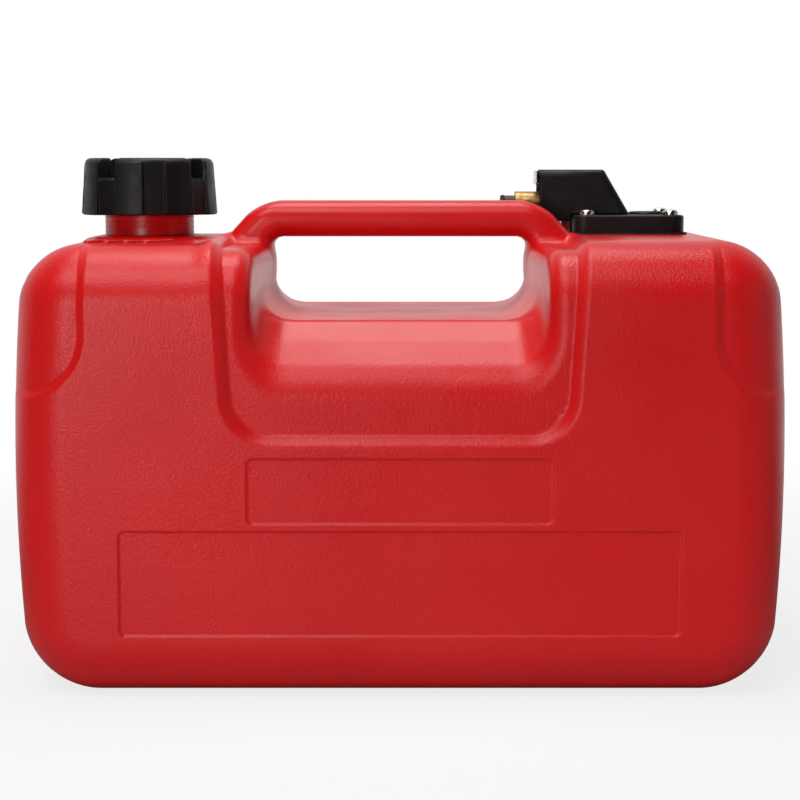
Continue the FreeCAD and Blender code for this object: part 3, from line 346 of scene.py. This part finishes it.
class Look:
    """A node material that is built up from noises, ramps and bumps in the object's own space."""

    def __init__(self, name, **shader):
        self.material = bpy.data.materials.new(name)
        self.material.use_nodes = True
        self.tree = self.material.node_tree
        self.shader = self.tree.nodes["Principled BSDF"]
        for key, value in shader.items():
            self.shader.inputs[key.replace("_", " ")].default_value = value
        self.place = self.add("ShaderNodeTexCoord").outputs["Object"]
        self.normal = None

    def add(self, kind, settings=(), **inputs):
        """A new node. An input is named by its label, or as _0, _1 and so on by its number."""
        node = self.tree.nodes.new(kind)
        for key, value in dict(settings).items():
            setattr(node, key, value)
        for key, value in inputs.items():
            self.put(node.inputs[int(key[1:]) if key[1:].isdigit() else key.replace("_", " ")], value)
        return node

    def put(self, socket, value):
        if isinstance(value, bpy.types.NodeSocket):
            self.tree.links.new(value, socket)
        else:
            socket.default_value = value

    def noise(self, scale, detail=2.0, roughness=0.5, stretch=None):
        place = self.place
        if stretch:
            place = self.add("ShaderNodeMapping", Vector=place, Scale=stretch).outputs[0]
        node = self.add("ShaderNodeTexNoise", Vector=place, Scale=scale, Detail=detail, Roughness=roughness)
        return node.outputs["Fac"]

    def cells(self, scale):
        return self.add("ShaderNodeTexVoronoi", Vector=self.place, Scale=scale).outputs["Distance"]

    def ramp(self, value, low, high, to_low=0.0, to_high=1.0):
        node = self.add("ShaderNodeMapRange", {"interpolation_type": "SMOOTHSTEP"}, Value=value)
        for index, number in zip((1, 2, 3, 4), (low, high, to_low, to_high)):
            node.inputs[index].default_value = number
        return node.outputs[0]

    def math(self, operation, a, b=0.0, c=0.0):
        return self.add("ShaderNodeMath", {"operation": operation}, _0=a, _1=b, _2=c).outputs[0]

    def mix(self, share, a, b):
        node = self.add("ShaderNodeMix", {"data_type": "RGBA"})
        self.put(node.inputs[0], share)
        self.put(node.inputs[6], a)
        self.put(node.inputs[7], b)
        return node.outputs[2]

    def bump(self, height, distance, strength=1.0):
        node = self.add("ShaderNodeBump", Height=height, Distance=distance, Strength=strength)
        if self.normal is not None:
            self.put(node.inputs["Normal"], self.normal)
        self.normal = node.outputs[0]
        self.put(self.shader.inputs["Normal"], self.normal)

    def set(self, name, value):
        self.put(self.shader.inputs[name], value)


def red_shell():
    """Moulded polyethylene with specks and scratches, and most texture where the grain layer is 1."""
    look = Look("red polyethylene", IOR=1.4)
    grain = look.add("ShaderNodeAttribute", {"attribute_name": "grain"}).outputs["Fac"]
    cloud = look.ramp(look.noise(9, 3), 0.3, 0.7)
    colour = look.mix(cloud, (0.58, 0.0050, 0.0062, 1), (0.63, 0.0062, 0.0075, 1))
    fine = look.ramp(look.noise(160, 3), 0.62, 0.8, 0, 0.25)
    colour = look.mix(fine, colour, (0.66, 0.02, 0.022, 1))
    specks = look.ramp(look.cells(330), 0.05, 0.12, 0.55, 0)
    colour = look.mix(specks, colour, (0.25, 0.003, 0.005, 1))
    scratch = look.ramp(look.noise(60, 6, 0.7, stretch=(1, 1, 14)), 0.68, 0.76, 0, 0.2)
    look.set("Base Color", look.mix(scratch, colour, (0.70, 0.07, 0.07, 1)))
    patches = look.ramp(look.noise(24, 4), 0.3, 0.7, -0.05, 0.03)
    look.set("Roughness", look.math("ADD", patches, look.math("MULTIPLY_ADD", grain, 0.02, 0.33)))
    pebble = look.math("MULTIPLY", look.noise(820, 3, 0.6), look.math("ADD", grain, 0.3))
    look.bump(pebble, 0.00017)
    look.bump(look.noise(45, 2), 0.0003, 0.5)
    look.bump(scratch, 0.00005, 0.5)
    return look.material


def moulded(name, colour, lighter, roughness=0.42):
    """Plain moulded plastic, rubber or foam."""
    look = Look(name, IOR=1.4, Specular_IOR_Level=0.35)
    look.set("Base Color", look.mix(look.ramp(look.noise(70, 4), 0.35, 0.7), colour, lighter))
    look.set("Roughness", look.ramp(look.noise(120, 3), 0.3, 0.7, roughness - 0.06, roughness + 0.08))
    look.bump(look.noise(1500, 2), 0.00006)
    look.bump(look.noise(90, 2), 0.0002, 0.4)
    return look.material


def metal(name, colour, darker, roughness, brush=None, grain=0.00001, metallic=1.0):
    """Metal with cloudy colour and fine marks, drawn out where brush is given."""
    look = Look(name, Metallic=metallic)
    look.set("Base Color", look.mix(look.ramp(look.noise(220, 4), 0.35, 0.75), colour, darker))
    look.set("Roughness", look.ramp(look.noise(300, 4), 0.3, 0.7, roughness * 0.7, roughness * 1.4))
    look.bump(look.noise(2500, 2, stretch=brush), grain)
    return look.material


def clear_plastic():
    """The gauge's lens."""
    look = Look("clear lens", IOR=1.49, Transmission_Weight=1.0)
    look.set("Base Color", look.mix(look.noise(120, 2), (0.93, 0.95, 0.96, 1), (0.97, 0.98, 0.98, 1)))
    look.set("Roughness", look.ramp(look.noise(500, 3), 0.4, 0.8, 0.02, 0.09))
    look.bump(look.noise(400, 2), 0.00001)
    return look.material


RED = red_shell()
BLACK = moulded("black plastic", (0.006, 0.0052, 0.0052, 1), (0.009, 0.008, 0.008, 1))
RUBBER = moulded("nitrile rubber", (0.02, 0.02, 0.02, 1), (0.035, 0.034, 0.033, 1), 0.7)
STEEL = metal("stainless steel", (0.72, 0.71, 0.69, 1), (0.55, 0.54, 0.53, 1), 0.16)
BRASS = metal("brass", (0.38, 0.22, 0.09, 1), (0.24, 0.13, 0.05, 1), 0.42, brush=(20, 1, 1))
ALUMINIUM = metal("aluminium", (0.70, 0.71, 0.72, 1), (0.55, 0.56, 0.57, 1), 0.3, brush=(1, 1, 12))
CASTING = metal("cast zinc", (0.70, 0.69, 0.67, 1), (0.52, 0.51, 0.50, 1), 0.5, grain=0.00004, metallic=0.35)
NYLON = moulded("natural nylon", (0.80, 0.80, 0.76, 1), (0.72, 0.71, 0.66, 1), 0.4)
FOAM = moulded("float foam", (0.07, 0.07, 0.07, 1), (0.12, 0.12, 0.12, 1), 0.6)
DIAL = moulded("dial face", (0.85, 0.85, 0.83, 1), (0.80, 0.80, 0.78, 1), 0.4)
POINTER = moulded("red pointer", (0.70, 0.03, 0.02, 1), (0.60, 0.02, 0.015, 1), 0.3)
TIP = moulded("dark tip", (0.05, 0.012, 0.010, 1), (0.09, 0.025, 0.018, 1), 0.3)
LENS = clear_plastic()

SLOT_LOOK = {
    "red_polyethylene": RED, "black_plastic": BLACK, "nitrile_rubber": RUBBER, "stainless_steel": STEEL,
    "brass": BRASS, "aluminium_tube": ALUMINIUM, "white_plastic": NYLON, "float_foam": FOAM,
    "dial_face": DIAL, "red_pointer": POINTER, "clear_lens": LENS, "zinc_casting": CASTING, "dark_tip": TIP,
}
for part in frame["record"]["subparts"]:
    nodes[part["node"]].data.materials.clear()
    nodes[part["node"]].data.materials.append(SLOT_LOOK[part["material_slot"]])

# ---------------------------------------------------------------- the tank's skin

# The grid's lines are closer where the panels, the recess, the scallops and the handle have their edges.
GRID, MARGIN = 4.5, 2.0
x_bands = [(60, 70, 1.2), (75, 87, 0.85), (126, 128, 0.7), (139, 149, 1.3)]
y_bands = [(11, 17, 1.5), (93.5, 101, 1.0)]
z_bands = [(29, 31, 0.6), (77, 82.5, 0.7), (110, 112, 0.6), (116, 122, 1.2), (137, 142, 1.5)]
z_bands += [(169, 173, 1.5), (201, 212, 1.1)]
tank_x = mirrored(HALF_LENGTH + MARGIN, GRID, x_bands)
tank_y = mirrored(HALF_DEPTH + MARGIN, GRID, y_bands)
tank_z = lines(-MARGIN, HANDLE_TOP + MARGIN, GRID, z_bands)
points, faces = surface(tank_form, tank_x, tank_y, tank_z)
normals = shaded(tank_form, points)
shell_nodes = ["tank_body", "tank_saddle", "tank_left_shoulder", "tank_right_shoulder", "carry_handle"]
tank_skin = mesh_piece("tank_skin", points, faces, "tank", shell_nodes, RED, normals)

# The mould is textured on the front, the back and the ends, with the roundings next to them.
face_grain = np.clip((np.abs(normals[:, 1]) - 0.3) / 0.3, 0, 1) * (np.abs(points[:, 1]) > 76)
end_grain = np.clip((np.abs(normals[:, 0]) - 0.6) / 0.3, 0, 1) * (np.abs(points[:, 0]) > 150)
grain = tank_skin.data.attributes.new("grain", "FLOAT", "POINT")
grain.data.foreach_set("value", np.maximum(face_grain, end_grain))

# ---------------------------------------------------------------- plain ribs on the deck beside the neck


def rib_form(x, y, z):
    """A row of slanted ribs, each with a round outline and a round top, on the lowered left deck."""
    deck = DECK - LEFT_DECK_DROP
    half_run = (RIB_BACK - RIB_FRONT) / 2
    form = np.full(np.broadcast(x, y, z).shape, FAR)
    for number in range(RIB_COUNT):
        middle = RIB_LEFT + number * RIB_STEP + RIB_RUN * (y - RIB_FRONT) / (2 * half_run)
        across = (np.abs(x - middle) - RIB_HALF) * RIB_SLANT_COSINE
        along = np.abs(y - (RIB_FRONT + RIB_BACK) / 2) - half_run
        outline = round_both(across, along, RIB_END_ROUND)
        form = np.minimum(form, round_both(outline, z - (deck + RIB_HEIGHT), RIB_TOP_ROUND))
    return np.maximum(form, deck - 0.6 - z)


rib_x = np.arange(RIB_LEFT - 4, RIB_LEFT + RIB_COUNT * RIB_STEP + 4, 0.7)
rib_y = np.arange(RIB_FRONT - 2, RIB_BACK + 2, 0.8)
rib_z = DECK - 2.6 + 0.35 * np.arange(9)
points, faces = surface(rib_form, rib_x, rib_y, rib_z)
mesh_piece("deck_ribs", points, faces, "tank", [], RED, shaded(rib_form, points))

# ---------------------------------------------------------------- the neck


def off_thread(z, lap_share):
    """How far up or down each place on a ring is from the thread's middle, and more at the thread's ends."""
    turn = (z - THREAD_START) / THREAD_PITCH
    near = np.full(NECK_SIDES, FAR)
    for lap in range(-1, 6):
        along = lap + lap_share
        ends = np.minimum(along, THREAD_TURNS - along) * THREAD_ENDS
        near = np.minimum(near, np.abs(turn - along) * THREAD_PITCH + np.clip(1 - ends, 0, FAR))
    return near


def neck_radius(z, lap_share):
    """A straight wall with fine ridges up to the cap's foot, and the cap's thread above it."""
    ridge = np.clip((THREAD_HALF - off_thread(z, lap_share)) / THREAD_FLANK, 0, 1)
    thread = NECK_OUT + (THREAD_CREST - NECK_OUT) * ridge
    height = (z - DECK) % NECK_RIDGE / NECK_RIDGE
    fine = NECK_RIDGE_DEPTH * (height - 0.5) * smooth((z - DECK - 2.5) / 2)
    wall = NECK_WALL + fine + (NECK_OUT - NECK_WALL) * smooth((z - CAP_FOOT - 1.5) / 1.5)
    return np.maximum(wall, thread)


def neck():
    """Rings of points up the neck's outside, over its lip and down its bore, with quads between them."""
    lap_share = np.arange(NECK_SIDES) / NECK_SIDES
    angle = lap_share * 2 * math.pi
    rows = np.arange(DECK - 4, NECK_TOP - 0.6, NECK_ROW)
    lip = [(NECK_OUT - 0.1, NECK_TOP - 0.35), (NECK_OUT - 0.5, NECK_TOP), (NECK_BORE + 0.5, NECK_TOP)]
    bore = [(NECK_BORE, z) for z in (NECK_TOP - 0.5, DECK + 12, DECK - 3)] + [(NECK_BORE - 1.5, DECK - 4)]
    round_rings = [np.full(NECK_SIDES, r) for r, z in lip + bore]
    radius = np.array([neck_radius(z, lap_share) for z in rows] + round_rings)
    height = np.append(rows, [z for r, z in lip + bore])[:, None] + np.zeros(NECK_SIDES)
    points = np.stack([NECK_X + radius * np.cos(angle), radius * np.sin(angle), height], axis=2)
    this = np.arange(radius.size).reshape(radius.shape)
    after = np.roll(this, -1, axis=1)
    faces = np.stack([this[:-1], after[:-1], after[1:], this[1:]], axis=2)
    return points.reshape(-1, 3), faces.reshape(-1, 4)


points, faces = neck()
mesh_piece("neck_skin", points, faces, "tank", ["filler_neck"], RED)

# ---------------------------------------------------------------- the filler cap


def cap_form(x, y, z):
    """Eight grooves around the cap, a well with four notches in its top, a bore and a hollow skirt below."""
    x = x - NECK_X
    r = np.hypot(x, y)
    angle = np.arctan2(y, x) - CAP_TURN
    taper = (z - CAP_FOOT) / (CAP_TOP - CAP_FOOT)
    outer = r - (CAP_R_FOOT + (CAP_R_TOP - CAP_R_FOOT) * taper)
    form = round_both(round_both(outer, z - CAP_TOP, CAP_TOP_ROUND), CAP_FOOT - z, CAP_FOOT_ROUND)
    eighth = (angle + math.pi / 8) % (math.pi / 4) - math.pi / 8
    across, out = r * np.sin(eighth), r * np.cos(eighth)
    form = less(form, np.maximum(np.abs(across) - GROOVE_HALF, GROOVE_FLOOR_R - out), GROOVE_ROUND)
    quarter = angle % (math.pi / 2) - math.pi / 4
    across, out = r * np.sin(quarter), r * np.cos(quarter)
    notch = np.maximum(np.maximum(np.abs(across) - NOTCH_HALF, CAP_FLOOR - z), NOTCH_INNER_R - out)
    form = less(form, notch, NOTCH_ROUND)
    form = less(form, np.maximum(r - WELL_R, CAP_FLOOR - z), WELL_ROUND)
    skirt = np.maximum(np.maximum(r - SKIRT_R, SKIRT_INNER_R - r), z - SKIRT_CEILING)
    form = less(form, skirt, SKIRT_ROUND)
    return less(form, np.maximum(r - CAP_BORE, z - CAP_SEAT), CAP_BORE_ROUND)


cap_step = 0.8
cap_grid = mirrored(35, cap_step)
cap_z = np.arange(CAP_FOOT - 1.5 * cap_step, CAP_TOP + 2 * cap_step, cap_step)
points, faces = surface(cap_form, NECK_X + cap_grid, cap_grid, cap_z)
mesh_piece("cap_skin", points, faces, "cap", ["filler_cap"], BLACK, shaded(cap_form, points))

# ---------------------------------------------------------------- rounded edges on the other CAD pieces

EDGE_WIDTH = {
    "gauge_base": 0.6, "connector_hood": 1.2, "connector_block": 0.5, "connector_clip": 0.25,
    "vent_screw": 0.4, "gauge_bezel": 0.3, "fuel_nipple": 0.25, "nipple_tip": 0.4, "base_screws": 0.25,
}
for name, width in EDGE_WIDTH.items():
    piece = nodes[name]
    piece.modifiers.new("weld", "WELD").merge_threshold = 1e-6
    flat = piece.modifiers.new("flat", "DECIMATE")
    flat.decimate_type = "DISSOLVE"
    flat.angle_limit = math.radians(0.5)
    bevel = piece.modifiers.new("edge", "BEVEL")
    bevel.width = width * MM
    bevel.segments = 3
    bevel.limit_method = "ANGLE"
    bevel.angle_limit = math.radians(35)
    bevel.harden_normals = True

# ---------------------------------------------------------------- floor, light and camera

AMBIENT = 0.11
FRONT_MIRROR = 0.02
FLOOR_WHITE = 0.8
FLOOR_REACH = 8.0
LIGHT_AIM = (0.0, 0.0, 0.1)
CAMERA_PLACE = (0.0, -0.987, 0.2403)
CAMERA_DOWN = math.radians(6.59)


def link_nodes(tree, *pairs):
    """Links each pair's output to its input."""
    for start, end in pairs:
        tree.links.new(start, end)


def world_light():
    """White to the camera, to glass and to reflections, but dim in reflections of the dark side in front."""
    world = bpy.data.worlds.new("world")
    bpy.context.scene.world = world
    world.use_nodes = True
    tree = world.node_tree
    tree.nodes.clear()
    new = tree.nodes.new
    out, path = new("ShaderNodeOutputWorld"), new("ShaderNodeLightPath")
    ambient, seen, mirrored_light = (new("ShaderNodeBackground") for _ in range(3))
    ambient.inputs[0].default_value = seen.inputs[0].default_value = (1, 1, 1, 1)
    ambient.inputs[1].default_value = AMBIENT
    place, split, range_y = new("ShaderNodeTexCoord"), new("ShaderNodeSeparateXYZ"), new("ShaderNodeMapRange")
    range_y.interpolation_type = "SMOOTHSTEP"
    for index, number in zip((1, 2, 3, 4), (-0.05, 0.6, FRONT_MIRROR, 1.0)):
        range_y.inputs[index].default_value = number
    direct, by_mirror, by_direct = (new("ShaderNode" + kind) for kind in ("Math", "MixShader", "MixShader"))
    direct.operation = "MAXIMUM"
    link_nodes(
        tree,
        (place.outputs["Generated"], split.inputs[0]),
        (split.outputs[1], range_y.inputs[0]),
        (range_y.outputs[0], mirrored_light.inputs[1]),
        (path.outputs["Is Camera Ray"], direct.inputs[0]),
        (path.outputs["Is Transmission Ray"], direct.inputs[1]),
        (path.outputs["Is Glossy Ray"], by_mirror.inputs[0]),
        (ambient.outputs[0], by_mirror.inputs[1]),
        (mirrored_light.outputs[0], by_mirror.inputs[2]),
        (direct.outputs[0], by_direct.inputs[0]),
        (by_mirror.outputs[0], by_direct.inputs[1]),
        (seen.outputs[0], by_direct.inputs[2]),
        (by_direct.outputs[0], out.inputs[0]),
    )


def floor_plane():
    """A pale floor that keeps the shadow near the tank and turns into the white backdrop away from it."""
    mesh = bpy.data.meshes.new("floor")
    corners = [(x * FLOOR_REACH, y * FLOOR_REACH, 0) for x, y in ((-1, -1), (1, -1), (1, 1), (-1, 1))]
    mesh.from_pydata(corners, [], [(0, 1, 2, 3)])
    floor = bpy.data.objects.new("floor", mesh)
    bpy.context.scene.collection.objects.link(floor)
    look = Look("floor", Roughness=0.8, Specular_IOR_Level=0.2)
    look.set("Base Color", look.mix(look.noise(3, 3), (0.72, 0.72, 0.72, 1), (0.75, 0.75, 0.75, 1)))
    look.bump(look.noise(300, 2), 0.0001)
    length = look.add("ShaderNodeVectorMath", {"operation": "LENGTH"}, _0=look.place).outputs["Value"]
    along_y = look.add("ShaderNodeSeparateXYZ", _0=look.place).outputs[1]
    path = look.add("ShaderNodeLightPath")
    glossy = path.outputs["Is Glossy Ray"]
    seen = look.math("MAXIMUM", path.outputs["Is Camera Ray"], path.outputs["Is Transmission Ray"])
    seen = look.math("MULTIPLY", seen, look.ramp(length, 0.28, 0.75, FLOOR_WHITE, 1.0))
    mirrored_share = look.math("MULTIPLY", glossy, look.ramp(length, 0.15, 0.5, 0.55, 1.0))
    dimmer = look.math("MULTIPLY", glossy, look.ramp(along_y, 0.6, 0.0, 0, 1 - FRONT_MIRROR))
    white = look.add("ShaderNodeEmission", Color=(1, 1, 1, 1), Strength=look.math("SUBTRACT", 1.0, dimmer))
    mix = look.add("ShaderNodeMixShader", _0=look.math("MAXIMUM", seen, mirrored_share))
    link_nodes(
        look.tree,
        (look.shader.outputs[0], mix.inputs[1]),
        (white.outputs[0], mix.inputs[2]),
        (mix.outputs[0], look.tree.nodes["Material Output"].inputs["Surface"]),
    )
    mesh.materials.append(look.material)


def area_light(name, place, size, power):
    """A soft white rectangular light that faces the middle of the tank."""
    data = bpy.data.lights.new(name, "AREA")
    data.shape = "RECTANGLE"
    data.size, data.size_y = size
    data.energy = power
    lamp = bpy.data.objects.new(name, data)
    bpy.context.scene.collection.objects.link(lamp)
    lamp.location = place
    back = np.array(place) - np.array(LIGHT_AIM)
    tilt = math.atan2(math.hypot(back[0], back[1]), back[2])
    lamp.rotation_euler = (tilt, 0, math.atan2(back[0], -back[1]))


world_light()
floor_plane()
area_light("key", (-0.35, -0.80, 1.30), (1.0, 0.7), 11)
area_light("side", (-0.52, -1.42, 0.25), (0.4, 0.36), 4.8)
area_light("fill", (1.2, -0.4, 0.4), (0.6, 0.8), 0.6)
area_light("top", (-0.05, 0.1, 1.2), (0.6, 0.5), 6.5)

camera = bpy.data.objects.new("camera", bpy.data.cameras.new("camera"))
bpy.context.scene.collection.objects.link(camera)
camera.data.sensor_width = 36.0
camera.data.lens = 90.0
camera.data.clip_start = 0.01
camera.location = CAMERA_PLACE
camera.rotation_euler = (math.radians(90) - CAMERA_DOWN, 0, 0)
bpy.context.scene.camera = camera
bpy.context.scene.view_settings.view_transform = "Standard"
